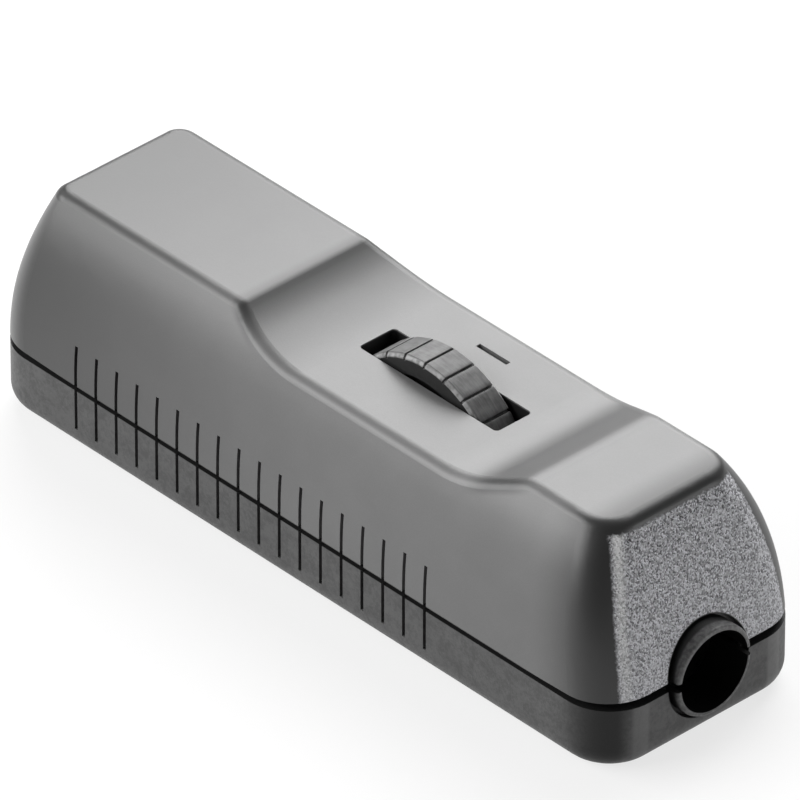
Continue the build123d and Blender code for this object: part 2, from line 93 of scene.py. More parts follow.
# %% Shader maths
class Field:
    """A value that changes over a surface. Arithmetic on it adds Math nodes."""

    def __init__(self, finish, socket):
        self.finish = finish
        self.socket = socket

    def math(self, operation, *values):
        """A Math node for an operation on values, each a field or a number."""
        return self.finish.add("ShaderNodeMath", {"operation": operation}, dict(enumerate(values)))

    def __add__(self, other):
        return self.math("ADD", self, other)

    def __radd__(self, other):
        return self.math("ADD", other, self)

    def __sub__(self, other):
        return self.math("SUBTRACT", self, other)

    def __rsub__(self, other):
        return self.math("SUBTRACT", other, self)

    def __mul__(self, other):
        return self.math("MULTIPLY", self, other)

    def __rmul__(self, other):
        return self.math("MULTIPLY", other, self)

    def __truediv__(self, other):
        return self.math("DIVIDE", self, other)

    def __rtruediv__(self, other):
        return self.math("DIVIDE", other, self)

    def __pow__(self, other):
        return self.math("POWER", self, other)

    def __rpow__(self, other):
        return self.math("POWER", other, self)

    def __abs__(self):
        return self.math("ABSOLUTE", self)

    def at_least(self, other):
        """The larger of two values."""
        return self.math("MAXIMUM", self, other)

    def ramp(self, low, high):
        """0 below low, 1 above high, and a smooth step between."""
        spread = {"interpolation_type": "SMOOTHSTEP", "clamp": True}
        return self.finish.add("ShaderNodeMapRange", spread, {0: self, 1: low, 2: high})

    def band(self, low, high, soft):
        """1 between low and high, falling to 0 over a soft margin on either side."""
        return self.ramp(low - soft, low) * (1 - self.ramp(high, high + soft))


print("shader maths: a Field is ready")

# %% [markdown]
# ## One class for a material
# Every finish on this object is one Principled shader with textures and masks in front of it. A node
# group could be shared between materials, but the export wants plain values on the shader's own sockets.
# So a small class makes the material, and one method adds every kind of node. Places are read in
# millimetres, because a moulder's drawing is.

# %% Materials
class Finish:
    """A material around one Principled shader, with its constant values set on the shader's sockets."""

    def __init__(self, name, **constants):
        self.material = bpy.data.materials.new(name)
        self.material.use_nodes = True
        self.tree = self.material.node_tree
        self.shader = self.tree.nodes["Principled BSDF"]
        for words, value in constants.items():
            self.shader.inputs[words.replace("_", " ")].default_value = value

    def add(self, kind, settings=None, values=None, out=0):
        """A node of a kind: its settings first, then each socket's value or link."""
        node = self.tree.nodes.new(kind)
        for key, value in (settings or {}).items():
            setattr(node, key, value)
        for key, value in (values or {}).items():
            self.feed(node.inputs[key], value)
        return Field(self, node.outputs[out])

    def feed(self, socket, value):
        """Links a field to a socket, or sets the socket to a plain value."""
        if isinstance(value, Field):
            self.tree.links.new(value.socket, socket)
        else:
            socket.default_value = value

    def place(self, squeeze=(1.0, 1.0, 1.0)):
        """The point on the object in millimetres. A squeeze over 1 packs a pattern closer on that axis."""
        point = self.add("ShaderNodeTexCoord", out="Object")
        scale = [value / MM for value in squeeze]
        return self.add("ShaderNodeMapping", {}, {"Vector": point, "Scale": scale})

    def axes(self, place):
        """The three coordinates of a point, as fields."""
        split = self.add("ShaderNodeSeparateXYZ", {}, {0: place})
        return [Field(self, output) for output in split.socket.node.outputs]

    def noise(self, place, size, detail, roughness=0.5):
        """Soft noise between 0 and 1 whose blotches are about a size in millimetres."""
        values = {"Vector": place, "Scale": 1 / size, "Detail": detail, "Roughness": roughness}
        return self.add("ShaderNodeTexNoise", {}, values)

    def grains(self, place, size, out):
        """Crystals of about a size in millimetres: a chance colour each, or the distance to the middle."""
        return self.add("ShaderNodeTexVoronoi", {}, {"Vector": place, "Scale": 1 / size}, out)

    def mix(self, share, first, second):
        """A colour between two others."""
        return self.add("ShaderNodeMix", {"data_type": "RGBA"}, {0: share, 6: first, 7: second}, out=2)

    def wear(self, socket, value):
        """Links a field to one of the shader's sockets."""
        self.feed(self.shader.inputs[socket], value)

    def relief(self, height):
        """Turns a height in millimetres into bumps."""
        values = {"Strength": 1.0, "Distance": MM, "Height": height}
        self.wear("Normal", self.add("ShaderNodeBump", {}, values))


print("materials: a Finish is ready")

# %% [markdown]
# ## Housing skin
# Both halves are moulded in a dark grey plastic with a satin skin. It could be one flat colour, but a
# real moulding is clouded over centimetres and grained over tenths of a millimetre. An image could hold
# that too, but noise and distances worked out from the place on the object have no seams and no
# resolution. The sizes here repeat the solids' own, in millimetres, so that a finish can tell where it is.

# %% Housing skin
HALF_LENGTH = 52.65
PARTING = 9.0
TOP = 29.5
RISE = TOP - PARTING
END_LEAN = {-1: 5.2, 1: 6.2}
END_CURVE = 1.25
CORNER_LOW = 6.5
CORNER_HIGH = {-1: 2.4, 1: 4.4}
CLOUD_SIZE = 7.0
GRAIN_SIZE = 0.16
GRAIN_HEIGHT = 0.006


def grey(value):
    """A colour without a hue."""
    return (value, value, value, 1.0)


def satin(finish, place, dark, light):
    """The moulded skin: a clouded grey, and a fine grain as a height in millimetres."""
    clouds = finish.noise(place, CLOUD_SIZE, 3.0)
    grain = finish.noise(place, GRAIN_SIZE, 1.0)
    tone = clouds * 0.6 + grain * 0.4
    return finish.mix(tone.ramp(0.2, 0.8), grey(dark), grey(light)), grain * GRAIN_HEIGHT


def climb_of(z):
    """How far up the upper half a height is: 0 at the joint or below it, 1 at the top."""
    return ((z - PARTING) / RISE).at_least(0.0)


def end_zone(x, z, end, start):
    """0 on the long faces, rising to 1 on an end's corners, over a distance counted in corner radii.

    The end's face leans in by a power of the climb, and its corners' radius changes evenly with it.
    """
    climb = climb_of(z)
    face = HALF_LENGTH - climb ** END_CURVE * END_LEAN[end]
    corner = CORNER_LOW + climb * (CORNER_HIGH[end] - CORNER_LOW)
    return ((x * end - face) / corner).ramp(start, -0.3)


print("skin: the upper half rises", RISE, "mm over the joint")

# %% [markdown]
# ## Painted shade on the upper half
# Shade is painted into the upper half's colour: darker in the saddle's two hollows, along the edges over the
# ends, around the +X corners, and a little all along towards the -X end, whose corners are brought back to
# the plain grey. A painted map could show that, but it would need a layout of the faces. Here each place
# is a mask made of smooth steps, and each mask pulls the colour towards a tone.

# %% Painted shade
LEFT_CREASE = -15.0
LEFT_DROP = 0.52
RIGHT_CREASE = 33.2
RIGHT_DROP = -0.37
UPPER_SKIN = (0.15, 0.175)
# Tones of painted shade; the -X corners' tone is the plain skin grey, which takes the painted shade back
# there.
FAR_SHADE_TONE = 0.045
HOLLOW_SHADE_TONE = 0.02
EDGE_SHADE_TONES = {-1: 0.008, 1: 0.01}
CORNER_SHADE_TONES = {-1: UPPER_SKIN[0], 1: 0.026}


def on_slope(x, z, crease, drop):
    """1 on the skin of a slope that starts at a crease and drops by so much a millimetre, 0 below it."""
    return (z + (x - crease) * drop).ramp(TOP - 1.8, TOP - 0.8)


def painted_shade_skin(finish, x, z, colour):
    """Painted shade: the colour pulled towards a darker grey in each place in turn by its mask's share, and
    back to the plain grey at the -X corners.
    """
    left_hollow = x.ramp(LEFT_CREASE - 2.0, LEFT_CREASE + 0.3) * (1 - x.ramp(LEFT_CREASE, LEFT_CREASE + 5.2))
    right_hollow = x.band(RIGHT_CREASE - 4.7, RIGHT_CREASE - 2.2, 4.0)
    left_edge = (1 - x.ramp(-46.5, -45.0)) * z.band(TOP - 0.9, TOP - 0.12, 0.1)
    right_edge = x.ramp(41.0, 46.0) * z.ramp(TOP - 1.8, TOP - 0.8)
    below_top = 1 - z.ramp(TOP - 0.25, TOP - 0.05)
    # Each place is painted shade: the fall towards -X, the two hollows, the +X top edge, the +X corners and
    # a dark line along the -X top edge; at the -X corners the painted shade is taken back to the plain grey.
    places = [
        (1 - x.ramp(-62.0, 12.0), FAR_SHADE_TONE),
        (left_hollow * on_slope(x, z, LEFT_CREASE, LEFT_DROP) * 0.85, HOLLOW_SHADE_TONE),
        (right_hollow * on_slope(x, z, RIGHT_CREASE, RIGHT_DROP) * 0.7, HOLLOW_SHADE_TONE),
        (right_edge, EDGE_SHADE_TONES[1]),
        (end_zone(x, z, -1, -1.0) * below_top, CORNER_SHADE_TONES[-1]),
        (end_zone(x, z, 1, -2.1) * below_top, CORNER_SHADE_TONES[1]),
        (left_edge * 0.7, EDGE_SHADE_TONES[-1]),
    ]
    for share, tone in places:
        colour = finish.mix(share, colour, grey(tone))
    return colour


print("handled places: the saddle lies between", LEFT_CREASE, "and", RIGHT_CREASE, "mm")

# %% [markdown]
# ## Cord entries
# A thin collar with a groove around it frames each cord entry. Little light comes back out of the bore
# and the groove, so both are painted nearly black as shade, while the collar's mouth is scuffed by the cord.
# Each could be a material of its own, but a solid here has only one, so the distance from the cord's axis
# tells bore, collar and groove apart.

# %% Cord entries
CORD_BORE = 5.2
COLLAR = 5.8
COLLAR_GROOVE = 6.3
COLLAR_END = 53.65
GROOVE_REACH = 3.4
BORE_REACH = 5.2
# Tones of painted shade: one for the cuts, the joint and the groove, and a darker one for the bore.
PAINTED_SHADE = 0.01
BORE_SHADE = 0.004


def from_cord(y, z):
    """The distance from the cord's axis, by Pythagoras."""
    return (y ** 2 + (z - PARTING) ** 2) ** 0.5


def around_cord(finish, x, y, z, colour, skin):
    """The colour with the collar's skin at its mouth, and with painted shade in the bore and the groove
    behind it.
    """
    away = from_cord(y, z)
    near_end = abs(x).ramp(HALF_LENGTH - GROOVE_REACH - 0.2, HALF_LENGTH - GROOVE_REACH)
    in_end = abs(x).ramp(HALF_LENGTH - BORE_REACH - 0.2, HALF_LENGTH - BORE_REACH)
    # Painted shade: the groove around the collar is painted nearly black.
    groove = near_end * (1 - away.ramp(COLLAR_GROOVE, COLLAR_GROOVE + 0.1))
    colour = finish.mix(groove, colour, grey(PAINTED_SHADE))
    above = (z - PARTING).at_least(0.0)
    mouth = (abs(x) + above * 0.13).ramp(COLLAR_END - 0.75, COLLAR_END - 0.35)
    scuffs = finish.noise(finish.place(), 0.5, 3.0).ramp(0.3, 0.7)
    rim = finish.mix(scuffs, grey(skin * 0.6), grey(skin * 1.3))
    colour = finish.mix(mouth * away.band(CORD_BORE, COLLAR, 0.03), colour, rim)
    # Painted shade: the bore is painted nearly black.
    bore = in_end * (1 - away.ramp(CORD_BORE + 0.01, CORD_BORE + 0.04))
    return finish.mix(bore, colour, grey(BORE_SHADE))


print("cord entries: a bore of", 2 * CORD_BORE, "mm in a collar of", 2 * COLLAR, "mm")

# %% [markdown]
# ## Spark-eroded ends
# Both ends of the upper half come from a mould face that sparks have eroded, up to a ragged line before
# the corners. Its tiny pits glitter like salt and pepper. Soft noise would look like fog there, so a
# cell texture gives each crystal one chance value of its own. Beside the front corner a highlight is
# painted over the crystals.

# %% Spark-eroded ends
PANEL_HALF_WIDTH = 12.8
PANEL_LEAN = 4.0
ENDS_FROM = 43.5
CRYSTAL = 0.2
PIT_DEPTH = 0.1
LEAST_SALT = 0.35
LOW_SALT = 0.24
PEPPER = (0.02, 0.02, 0.022, 1.0)
SALT = (0.8, 0.8, 0.84, 1.0)


def spark_eroded(finish, place, x, y, z):
    """How much of the eroded panel is at a place, from 0 to 1, and the panel's colour there.

    The panel narrows by the square of the climb, and noise makes its border ragged. A crystal's chance
    value mixes pepper and salt, with more salt low down and towards the +X end. Beside the front corner a
    strip of painted highlight lightens the crystals.
    """
    climb = climb_of(z)
    ragged = finish.noise(place, 0.5, 2.0) - 0.5
    half_panel = PANEL_HALF_WIDTH - climb ** 2 * PANEL_LEAN
    past_collar = from_cord(y, z).ramp(COLLAR_GROOVE, COLLAR_GROOVE + 0.15)
    on_end = abs(x).ramp(ENDS_FROM, ENDS_FROM + 0.5) * past_collar
    below_edge = 1 - (z + ragged * 0.6).ramp(TOP - 1.5, TOP - 1.1)
    panel = (half_panel - abs(y) + ragged * 0.5).ramp(-0.2, 0.25) * below_edge * on_end
    chance = finish.axes(finish.grains(place, CRYSTAL, "Color"))[0]
    share = LEAST_SALT + x.ramp(-20.0, 20.0) * (1 - LEAST_SALT)
    low_down = (1 - climb) * LOW_SALT
    colour = finish.mix((chance + low_down) * share, PEPPER, SALT)
    # Painted highlight: a strip beside the front corner is painted lighter.
    lightened = (half_panel + y + ragged * 0.5).band(0.7, 1.0, 0.8) * (0.4 + climb * 0.4)
    return panel, finish.mix(lightened * share * (0.55 + chance * 0.6), colour, grey(1.0))


print("eroded ends: crystals of", CRYSTAL, "mm")

# %% [markdown]
# ## Upper half
# The layers go over each other as a painter lays them: the skin, the painted shade, the eroded ends,
# the cord entries, and last painted shade in the cuts, which are the wheel's slot and the joint. Several
# materials on several faces could do it, but the borders between these layers are soft.

# %% Upper half
SADDLE = 26.3
SLOT_HALF_WIDTH = 2.8
SLOT_FROM = -2.9
SLOT_TO = 20.5
UPPER_COLLAR = 0.11


def dress(name, material):
    """Gives a solid of the frame one material."""
    nodes[name].data.materials.clear()
    nodes[name].data.materials.append(material)


def upper_plastic():
    """Satin faces with painted shade in places, spark-eroded ends, and painted shade in the cuts."""
    finish = Finish("upper_plastic", Specular_IOR_Level=0.5)
    place = finish.place()
    x, y, z = finish.axes(place)
    colour, height = satin(finish, place, *UPPER_SKIN)
    colour = painted_shade_skin(finish, x, z, colour)
    panel, salt_and_pepper = spark_eroded(finish, place, x, y, z)
    colour = finish.mix(panel, colour, salt_and_pepper)
    colour = around_cord(finish, x, y, z, colour, UPPER_COLLAR)
    # Painted shade: the slot's cut faces and the joint are painted nearly black.
    slot = (1 - z.ramp(SADDLE - 0.3, SADDLE - 0.1)) * x.band(SLOT_FROM, SLOT_TO, 0.1)
    slot = slot * (1 - abs(y).ramp(SLOT_HALF_WIDTH, SLOT_HALF_WIDTH + 0.1))
    joint = 1 - z.ramp(PARTING + 0.32, PARTING + 0.45)
    finish.wear("Base Color", finish.mix(slot.at_least(joint), colour, grey(PAINTED_SHADE)))
    finish.wear("Roughness", 0.4 + panel * 0.2)
    finish.relief(height - panel * finish.grains(place, CRYSTAL, "Distance") * PIT_DEPTH)
    return finish.material


dress("upper_shell", upper_plastic())

# %% [markdown]
# ## Lower half
# The lower half lies on the floor and is pushed about, so its skin is flatter and mottled. Shade is
# painted dark in the joint and around the +X corners, and a highlight is painted lighter just past them.
# It shares the skin's clouds and grain with the upper half; only the marks over them are its own.

# %% Lower half
HALF_WIDTH = 15.8
LOWER_SKIN = (0.10, 0.13)
MOTTLE_TONE = 0.06
# A tone of painted shade for the +X corners, and one of painted highlight just past them.
LOWER_CORNER_SHADE = 0.014
LOWER_HIGHLIGHT_TONE = 0.26
LOWER_COLLAR = 0.13


def lower_plastic():
    """A mottled skin, with painted shade in the joint and around the +X corners, and a painted highlight
    past them.
    """
    finish = Finish("lower_plastic", Specular_IOR_Level=0.25)
    place = finish.place()
    x, y, z = finish.axes(place)
    colour, height = satin(finish, place, *LOWER_SKIN)
    mottle = finish.noise(place, 0.5, 3.0, 0.7)
    streaks = finish.noise(place, 2.2, 3.0, 0.6)
    colour = finish.mix((mottle * 0.5 + streaks * 0.5).ramp(0.4, 0.62) * 0.6, colour, grey(MOTTLE_TONE))
    # Painted shade: the +X corners are painted darker.
    corner = end_zone(x, z, 1, -1.6) * abs(y).ramp(HALF_WIDTH - 4.4, HALF_WIDTH - 2.6)
    colour = finish.mix(corner, colour, grey(LOWER_CORNER_SHADE))
    # Painted highlight: a band on the +X end just past the corners is painted lighter.
    lightened = x.ramp(HALF_LENGTH - 0.8, HALF_LENGTH - 0.2) * abs(y).band(9.6, 11.2, 0.6)
    colour = finish.mix(lightened * 0.4, colour, grey(LOWER_HIGHLIGHT_TONE))
    colour = around_cord(finish, x, y, z, colour, LOWER_COLLAR)
    # Painted shade: the joint is painted nearly black.
    joint = z.ramp(PARTING - 0.4, PARTING - 0.28)
    finish.wear("Base Color", finish.mix(joint, colour, grey(PAINTED_SHADE)))
    finish.wear("Roughness", 0.36 + mottle * 0.18)
    finish.relief(height + mottle * 0.02)
    return finish.material


mottled_plastic = lower_plastic()
dress("lower_shell", mottled_plastic)
print("lower half:", len(mottled_plastic.node_tree.nodes), "nodes")

# %% [markdown]
# ## Surfaces from numbers
# Two pieces are made here instead of being dressed: the wheel, whose edges are worn, and the choke's
# wire, which the solid model has as one sleeve. Both are a closed line carried along a path, so both
# could be modelled by hand, but one grid of points and one rule for its faces serve them alike. The
# space inside tells whether the faces look outwards.

# %% Surfaces
def surface(name, points, material, body, replaced, ring=True):
    """A closed mesh from a grid of points, whose rows wrap round.

    Quad (i, j) joins point (i, j) to its neighbours in the next row and column. On a ring the last
    column joins the first; otherwise a flat cap closes each end.
    """
    rows, columns = points.shape[:2]
    index = np.arange(rows * columns).reshape(rows, columns)
    following = np.roll(index, -1, axis=1)
    quads = np.stack([index, following, np.roll(following, -1, axis=0), np.roll(index, -1, axis=0)], axis=-1)
    faces = quads.reshape(-1, 4).tolist()
    if not ring:
        faces = quads[:, :-1].reshape(-1, 4).tolist() + [index[:, 0].tolist(), index[::-1, -1].tolist()]
    mesh = bpy.data.meshes.new(name)
    mesh.from_pydata((points.reshape(-1, 3) * MM).tolist(), [], faces)
    mesh.materials.append(material)
    piece = bpy.data.objects.new(name, mesh)
    scene.collection.objects.link(piece)
    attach(piece, body)
    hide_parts(replaced)
    return piece


def volume(mesh):
    """The space inside a mesh in cubic millimetres: positive if its faces look outwards.

    Each triangle and the origin span a signed tetrahedron, a sixth of a triple product.
    """
    mesh.calc_loop_triangles()
    corners = np.empty(len(mesh.loop_triangles) * 3, dtype=np.int32)
    mesh.loop_triangles.foreach_get("vertices", corners)
    points = np.empty(len(mesh.vertices) * 3)
    mesh.vertices.foreach_get("co", points)
    a, b, c = (points.reshape(-1, 3) / MM)[corners.reshape(-1, 3)].transpose(1, 0, 2)
    return float(np.sum(a * np.cross(b, c)) / 6)


print("surfaces: a grid of points makes a ring, or a tube with two caps")

# %% [markdown]
# ## Wheel plastic
# The wheel is the same plastic in black. Its rim is painted grey, partly as rubbing by thumbs and partly as
# a painted reflection, and scratched the way it turns; its edges carry a painted highlight lighter still,
# while its sides stay dark. The distance from the axle tells the rim from the sides, so the marks turn with
# the wheel.

# %% Wheel plastic
WHEEL_X = 7.9
WHEEL_Z = 16.1
WHEEL_RADIUS = 13.2
WHEEL_HALF = 2.5
SIDE_TONES = (0.012, 0.022)
RIM_TONES = (0.08, 0.17)
EDGE_HIGHLIGHT_TONE = 0.34


def wheel_plastic():
    """Nearly black sides, a rim painted grey with scratches around it, partly wear and partly painted
    reflection, and a painted highlight on the rim edge.
    """
    finish = Finish("wheel_plastic", Specular_IOR_Level=0.25)
    place = finish.place()
    x, y, z = finish.axes(place)
    out = ((x - WHEEL_X) ** 2 + (z - WHEEL_Z) ** 2) ** 0.5
    # The rim is painted lighter than the sides: partly thumb wear with scratches, partly a painted
    # reflection of the light its facets catch.
    rim = out.ramp(WHEEL_RADIUS - 0.75, WHEEL_RADIUS - 0.6)
    scratches = finish.noise(finish.place((0.3, 3.0, 0.3)), 1.0, 4.0, 0.7)
    clouds = finish.noise(place, 1.2, 3.0)
    lightened = finish.mix((scratches * 0.5 + clouds * 0.5).ramp(0.3, 0.7), *map(grey, RIM_TONES))
    # Painted highlight: the rim's edges are painted lighter still.
    edge = rim * abs(y).ramp(WHEEL_HALF - 0.36, WHEEL_HALF - 0.2)
    lightened = finish.mix(edge * clouds.ramp(0.3, 0.6), lightened, grey(EDGE_HIGHLIGHT_TONE))
    side = finish.mix(clouds, *map(grey, SIDE_TONES))
    finish.wear("Base Color", finish.mix(rim, side, lightened))
    finish.wear("Roughness", 0.36 + scratches * 0.14)
    finish.relief(scratches * 0.012 + clouds * 0.01)
    return finish.material


worn_and_lit_plastic = wheel_plastic()
print("wheel plastic:", len(worn_and_lit_plastic.node_tree.nodes), "nodes")

# %% [markdown]
# ## Thumbwheel
# The wheel is a moulded disc with a flat-faceted rim, a groove between each two facets, and a thin web.
# It could be a cylinder with cuts, but a profile carried round the axis gives every facet at once, and
# lets the edges beside each groove be a little worn. A small bevel then softens what a mould can't keep
# sharp.

# %% Wheel
FACETS = 24
GROOVE_HALF = 0.175
GROOVE_DEPTH = 0.45
WALL_STEP = 0.001
WEAR_STEPS = [0.0, 0.002, 0.006, 0.012, 0.022, 0.04, 0.075, 0.11]
WEAR_DEPTH = 0.09
WEAR_REACH = 0.22
BEVEL = 0.4
RIM_INNER = 10.6
HUB = 5.0
WEB_HALF = 1.5
BORE = 3.02
BORE_FLAT = 2.02
EDGE_RADIUS = 0.1


def wheel_grid():
    """A profile from the bore, over the rim and back to the bore, carried round the wheel's axis.

    A facet's distance from the axis is its shortest distance over the cosine of the angle to its
    middle. At each facet's end a groove is cut below it, and the edge beside the groove is worn by
    an amount that fades with the distance from the groove. The angles step finely beside each groove.
    """
    pitch = 2 * math.pi / FACETS
    groove = GROOVE_HALF / WHEEL_RADIUS
    from_groove = np.array(WEAR_STEPS) + groove
    half_facet = np.concatenate([[groove - WALL_STEP], from_groove])
    facet = np.concatenate([half_facet, pitch - half_facet[::-1]])
    angle = np.add.outer(np.arange(FACETS) * pitch, facet).ravel()
    from_corner = pitch / 2 - np.abs((angle % pitch) - pitch / 2)
    flat = WHEEL_RADIUS * math.cos(pitch / 2) / np.cos(pitch / 2 - from_corner)
    worn = WEAR_DEPTH * np.exp(-(from_corner - groove) * WHEEL_RADIUS / WEAR_REACH)
    rim = np.where(from_corner < groove, WHEEL_RADIUS - GROOVE_DEPTH, flat - worn)
    to_flat = np.maximum(-np.cos(angle), 0.01)
    bore = np.minimum(BORE, BORE_FLAT / to_flat)
    hub = HUB + 0 * rim
    web = RIM_INNER + 0 * rim
    outwards = [bore, hub, hub, web, web, rim - BEVEL, rim]
    radius = np.array(outwards + outwards[::-1])
    half = np.array([WHEEL_HALF, WHEEL_HALF, WEB_HALF, WEB_HALF, WHEEL_HALF, WHEEL_HALF, WHEEL_HALF - BEVEL])
    across = np.concatenate([-half, half[::-1]])[:, None] + 0 * radius
    return np.stack([WHEEL_X + radius * np.sin(angle), across, WHEEL_Z + radius * np.cos(angle)], axis=-1)


wheel = surface("worn_thumbwheel", wheel_grid(), worn_and_lit_plastic, "dial", "thumbwheel")
soften = wheel.modifiers.new("soften", "BEVEL")
soften.width = EDGE_RADIUS * MM
soften.segments = 2
soften.limit_method = "ANGLE"
soften.angle_limit = math.radians(30)
soften.harden_normals = True
wheel.data.shade_smooth()
print("wheel:", FACETS, "facets,", len(wheel.data.polygons), "quads,", round(volume(wheel.data)), "mm3")

# %% [markdown]
# ## Enamelled wire
# Winding wire is bright copper under a thin reddish lacquer. A plain orange paint would look dull where
# the wire bends to the light, so it is a metal with a weak coat, whose colour varies with the lacquer.

# %% Copper wire
def copper_wire():
    """Enamelled copper: metal under a reddish lacquer whose depth varies."""
    finish = Finish("enamelled_copper", Metallic=0.85, Coat_Weight=0.4, Coat_Roughness=0.15)
    clouds = finish.noise(finish.place(), 0.9, 3.0)
    finish.wear("Base Color", finish.mix(clouds, (0.42, 0.14, 0.05, 1.0), (0.68, 0.29, 0.12, 1.0)))
    finish.wear("Roughness", 0.25 + clouds * 0.2)
    finish.relief(clouds * 0.01)
    return finish.material


copper = copper_wire()
print("copper wire:", len(copper.node_tree.nodes), "nodes")

# %% [markdown]
# ## Choke winding
# The interference choke is a ring core wound with one layer of thick enamelled wire. A screw modifier
# could make a coil, but not one that is bent into a ring. Here the wire is a round tube carried along
# its own path: each turn is a rounded rectangle about the core's section, and the turns step round the
# ring.

# %% Winding
TURNS = 8
WOUND_ANGLE = math.radians(300)
WIRE_RADIUS = 0.55
WIRE_GAP = 0.05
SQUARENESS = 8
START = -0.25
STEPS_A_TURN = 64
WIRE_SIDES = 12


def winding_grid():
    """A circle carried along the wire's path.

    Over each turn the path follows a superellipse about the core's section: the cosine and sine of the
    turn's angle, each to a small power with its sign kept. The angle about the ring grows with the turns.
    """
    low, high = [np.array(corner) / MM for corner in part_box("choke_core")]
    middle = (low + high) / 2
    outer = (high[0] - low[0]) / 2
    inner = outer / 2
    gap = WIRE_RADIUS + WIRE_GAP
    turn = np.linspace(START, START + TURNS, STEPS_A_TURN * TURNS)
    swing = 2 * math.pi * turn
    power = 2 / SQUARENESS
    out = (outer - inner) / 2 + gap
    up = (high[2] - low[2]) / 2 + gap
    radius = (outer + inner) / 2 + out * np.sign(np.cos(swing)) * np.abs(np.cos(swing)) ** power
    height = up * np.sign(np.sin(swing)) * np.abs(np.sin(swing)) ** power
    about = WOUND_ANGLE * (turn - START) / TURNS
    path = middle + np.stack([radius * np.cos(about), radius * np.sin(about), height], axis=-1)
    along = np.gradient(path, axis=0)
    along /= np.linalg.norm(along, axis=1, keepdims=True)
    side = np.stack([-np.sin(about), np.cos(about), 0 * about], axis=-1)
    side -= along * np.sum(along * side, axis=1, keepdims=True)
    side /= np.linalg.norm(side, axis=1, keepdims=True)
    rise = np.cross(side, along)
    round_wire = np.linspace(0, 2 * math.pi, WIRE_SIDES, endpoint=False)[:, None, None]
    return path + WIRE_RADIUS * (np.cos(round_wire) * side + np.sin(round_wire) * rise)


winding = surface("wound_wire", winding_grid(), copper, "housing", "choke_winding", ring=False)
winding.data.shade_smooth()
print("winding:", TURNS, "turns,", len(winding.data.polygons), "faces,", round(volume(winding.data)), "mm3")

# %% [markdown]
# ## Plastics and metals inside
# Through the slot, the slits and the cord entries a little of the inside shows. Each piece still gets
# the finish of the real one. Each could have a material of its own, but moulded plastics differ only in
# colour and grain, and plated and rolled metals in the way their streaks run, so two recipes are enough.

# %% Plastics and metals
def moulded(name, dark, light, roughness, grain_size=0.2, grain_height=0.008):
    """A moulded or cast piece: two close colours in clouds, with a fine grain."""
    finish = Finish(name, Specular_IOR_Level=0.5)
    place = finish.place()
    clouds = finish.noise(place, 2.5, 3.0)
    grain = finish.noise(place, grain_size, 1.0)
    finish.wear("Base Color", finish.mix(clouds, dark, light))
    finish.wear("Roughness", roughness + grain * 0.15)
    finish.relief(grain * grain_height)
    return finish.material


def metal(name, dark, light, roughness, squeeze):
    """A rolled or plated metal: streaks along the axis on which the pattern is squeezed least."""
    finish = Finish(name, Metallic=1.0)
    streaks = finish.noise(finish.place(squeeze), 0.8, 4.0, 0.6)
    finish.wear("Base Color", finish.mix(streaks, dark, light))
    finish.wear("Roughness", roughness + streaks * 0.2)
    finish.relief(streaks * 0.01)
    return finish.material


print("recipes: moulded and metal")

# %% [markdown]
# ## Board, resistors and fuse
# These have looks that the two recipes can't give: a brown board with paper fibres, lacquered bodies
# with painted rings between bare leads, and a glass tube. The rings are bands along the body's own axis,
# so they need no picture.

# %% Board, resistors and fuse
def laminate():
    """Paper laminate: brown, with fibres across it."""
    finish = Finish("board_laminate", Specular_IOR_Level=0.4)
    fibres = finish.noise(finish.place((0.3, 3.0, 1.0)), 0.8, 4.0, 0.7)
    finish.wear("Base Color", finish.mix(fibres, (0.24, 0.12, 0.04, 1.0), (0.36, 0.21, 0.08, 1.0)))
    finish.wear("Roughness", 0.5 + fibres * 0.2)
    finish.relief(fibres * 0.02)
    return finish.material


def banded(name, body, lead, bands, low, high, spacing):
    """A lacquered body along Y between its leads, with painted rings counted from its far end."""
    finish = Finish(name, Specular_IOR_Level=0.5)
    place = finish.place()
    y = finish.axes(place)[1]
    clouds = finish.noise(place, 0.6, 2.0)
    colour = finish.mix(clouds, body, [value * 0.8 for value in body[:3]] + [1.0])
    for number, ring in enumerate(bands):
        start = high - spacing * (number + 0.7)
        colour = finish.mix(y.band(start - spacing * 0.4, start, 0.02), colour, ring)
    on_body = y.band(low, high, 0.02)
    finish.wear("Base Color", finish.mix(on_body, lead, colour))
    finish.wear("Metallic", 1 - on_body)
    finish.wear("Roughness", 0.3 + clouds * 0.15)
    finish.relief(clouds * 0.01)
    return finish.material


def clear_glass():
    """Fuse glass: clear, a little wavy, and dusty in places."""
    finish = Finish("fuse_glass", Transmission_Weight=1.0, IOR=1.5)
    dust = finish.noise(finish.place(), 1.2, 3.0)
    finish.wear("Base Color", finish.mix(dust, (0.96, 0.98, 0.97, 1.0), (0.86, 0.9, 0.88, 1.0)))
    finish.wear("Roughness", dust.ramp(0.45, 0.8) * 0.15)
    finish.relief(dust * 0.01)
    return finish.material


print("recipes: laminate, banded and clear glass")

# %% [markdown]
# ## Dressing the inside
# Each solid gets its finish by name, so pieces of one kind share one material as they share a supplier.
# The bodies of the resistors and of the trigger diode lie along the board's width; where the bodies end
# and the leads start is read from their boxes.

# %% Dressing the inside
TIN = (0.62, 0.61, 0.58, 1.0)
BROWN = (0.16, 0.06, 0.02, 1.0)
RED = (0.45, 0.03, 0.02, 1.0)
GOLD = (0.55, 0.38, 0.1, 1.0)
LEAD_REACH = 1.2

